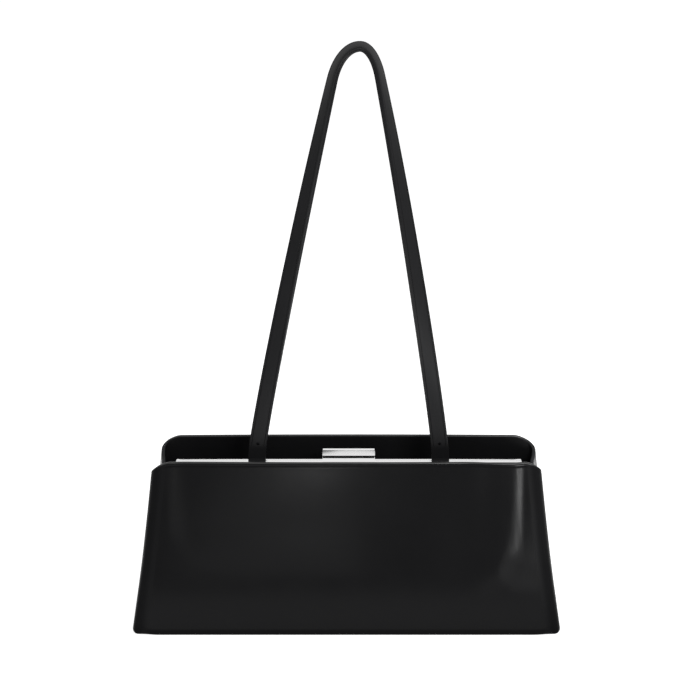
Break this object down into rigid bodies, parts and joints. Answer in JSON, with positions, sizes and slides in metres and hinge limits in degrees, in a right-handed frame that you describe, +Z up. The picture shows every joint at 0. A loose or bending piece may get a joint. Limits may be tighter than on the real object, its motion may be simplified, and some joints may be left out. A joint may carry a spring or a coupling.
{
  "type": "baguette bag",
  "caption": "Small trapezoid baguette bag in polished black leather, open at the top around a hinged metal frame with a flip clasp, carried by a single long shoulder strap.",
  "frame": {"origin": "centre of the base's underside, on the surface that the bag stands on", "axes": "+X along the bag to the right as seen from the front, +Y to the back, +Z up"},
  "size_m": [0.3014, 0.076, 0.4109],
  "materials": {
    "black_leather": "glossy",
    "pouch_leather": "satin",
    "lining_cloth": "matte",
    "board": "matte",
    "polished_metal": "polished",
    "magnet": "satin",
    "black_metal": "satin"
  },
  "bodies": {
    "bag": {"base_panel": "black_leather", "base_board": "board", "base_lining": "lining_cloth", "front_panel": "black_leather", "back_panel": "black_leather", "left_gusset": "black_leather", "right_gusset": "black_leather", "front_lining": "lining_cloth", "back_lining": "lining_cloth", "left_gusset_lining": "lining_cloth", "right_gusset_lining": "lining_cloth", "front_facing": "black_leather", "back_facing": "black_leather", "pouch_front_wall": "pouch_leather", "pouch_rear_wall": "pouch_leather", "pouch_base": "pouch_leather", "pouch_left_end": "pouch_leather", "pouch_right_end": "pouch_leather", "frame_rivets": "polished_metal"},
    "front_half": {"front_frame": "polished_metal", "pouch_front_skirt": "pouch_leather", "clasp_catch": "polished_metal", "left_strap_loop": "polished_metal", "right_strap_loop": "polished_metal"},
    "rear_half": {"rear_frame": "polished_metal", "pouch_rear_skirt": "pouch_leather", "clasp_base": "polished_metal", "clasp_pin": "polished_metal"},
    "lever": {"clasp_lever": "polished_metal", "clasp_magnet": "magnet"},
    "strap": {"shoulder_strap": "black_leather", "strap_rivets": "black_metal"}
  },
  "joints": [
    {"name": "front_half_opening", "type": "hinge", "parent": "bag", "child": "front_half", "pos_m": [0, 0, 0.0767], "axis": [1, 0, 0], "range_deg": [0, 10]},
    {"name": "rear_half_opening", "type": "hinge", "parent": "bag", "child": "rear_half", "pos_m": [0, 0, 0.0767], "axis": [-1, 0, 0], "range_deg": [0, 25]},
    {"name": "clasp_flip", "type": "hinge", "parent": "rear_half", "child": "lever", "pos_m": [0, 0.002, 0.1222], "axis": [-1, 0, 0], "range_deg": [0, 100]},
    {"name": "strap_swing", "type": "hinge", "parent": "front_half", "child": "strap", "pos_m": [0, -0.00668, 0.1177], "axis": [-1, 0, 0], "range_deg": [-34, 65]}
  ]
}
